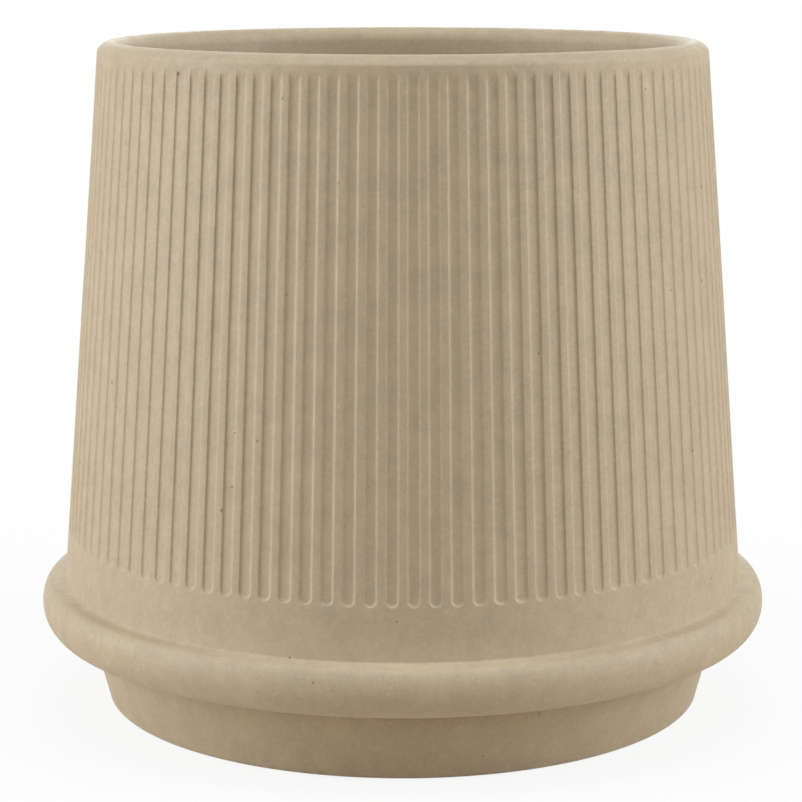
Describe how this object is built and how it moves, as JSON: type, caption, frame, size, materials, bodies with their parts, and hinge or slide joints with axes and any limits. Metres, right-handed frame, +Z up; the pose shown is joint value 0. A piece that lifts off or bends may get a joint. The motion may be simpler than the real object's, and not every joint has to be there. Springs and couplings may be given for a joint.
{
  "type": "flower pot",
  "caption": "Fluted ceramic flower pot, flared towards a thick roll, with a rubber drain plug, on a low nested saucer with felt pads.",
  "frame": {"origin": "on the pot's axis, on the surface that the felt pads stand on", "axes": "+Z up along the pot's axis; -Y is the side that faces the viewer in the picture"},
  "size_m": [0.176, 0.176, 0.1585],
  "materials": {
    "pot_ceramic": "matt unglazed, sand-coloured, finely mottled",
    "saucer_ceramic": "matt unglazed, sand-coloured, finely mottled",
    "plug_rubber": "satin moulded rubber",
    "pad_felt": "pressed felt"
  },
  "bodies": {
    "saucer": {"saucer": "saucer_ceramic", "foot_pad_1": "pad_felt", "foot_pad_2": "pad_felt", "foot_pad_3": "pad_felt", "foot_pad_4": "pad_felt"},
    "pot": {"fluted_pot": "pot_ceramic"},
    "plug": {"drain_plug": "plug_rubber"}
  },
  "joints": [
    {"name": "pot_lift", "type": "slide", "parent": "saucer", "child": "pot", "axis": [0, 0, 1], "range_m": [0, 0.06]},
    {"name": "plug_pull", "type": "slide", "parent": "pot", "child": "plug", "axis": [0, 0, 1], "range_m": [0, 0.03]}
  ]
}
